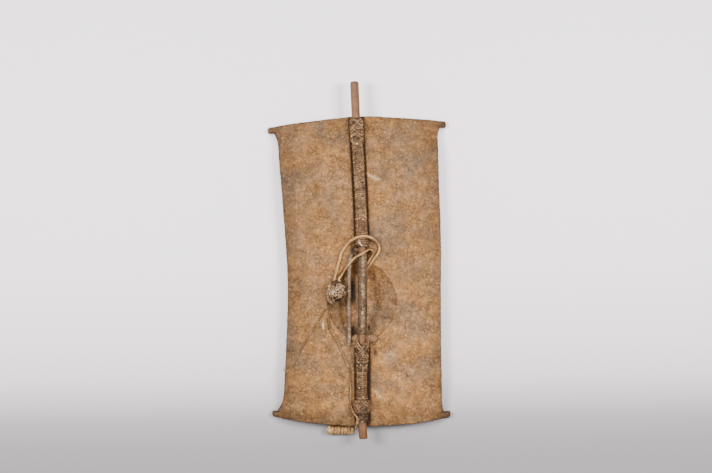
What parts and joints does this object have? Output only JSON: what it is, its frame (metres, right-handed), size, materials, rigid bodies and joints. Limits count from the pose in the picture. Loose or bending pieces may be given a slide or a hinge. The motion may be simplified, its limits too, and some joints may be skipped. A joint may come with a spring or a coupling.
{
  "type": "hide shield",
  "caption": "Rectangular rawhide shield lying on its front, hollow boss, stick lashed down the back, covered grip and carrying thong",
  "frame": {"origin": "On the surface that the shield lies on, under the middle of its outline (the thongs and what hangs on them not counted).", "axes": "+Z up, out of the back of the shield, its shortest extent; +Y along the stick towards its long plain end, the longest extent; +X to the right, looking at the back with +Y up."},
  "size_m": [0.449, 0.891, 0.0818],
  "materials": {
    "hide": "dry tan-brown rawhide, mottled grey and ochre",
    "stick_wood": "smooth handled wood",
    "peg_wood": "dry wood",
    "lashing": "dark dry hide thong",
    "grip_leather": "worn dark leather",
    "strap_hide": "grey-brown rolled hide",
    "knob_leather": "dark knotted leather",
    "pale_thong": "pale tan thong",
    "grey_thong": "grey-tan thong"
  },
  "bodies": {
    "root": {"hide_body": "hide", "stick": "stick_wood", "upper_cross_peg": "peg_wood", "lower_cross_peg": "peg_wood", "upper_lashing": "lashing", "lower_lashing": "lashing", "grip_cover": "grip_leather", "side_strap": "strap_hide", "knob": "knob_leather", "wound_end": "pale_thong", "wrist_thong_a": "pale_thong", "wrist_thong_b": "pale_thong", "edge_thong": "grey_thong", "tail_thong": "grey_thong"}
  },
  "joints": []
}
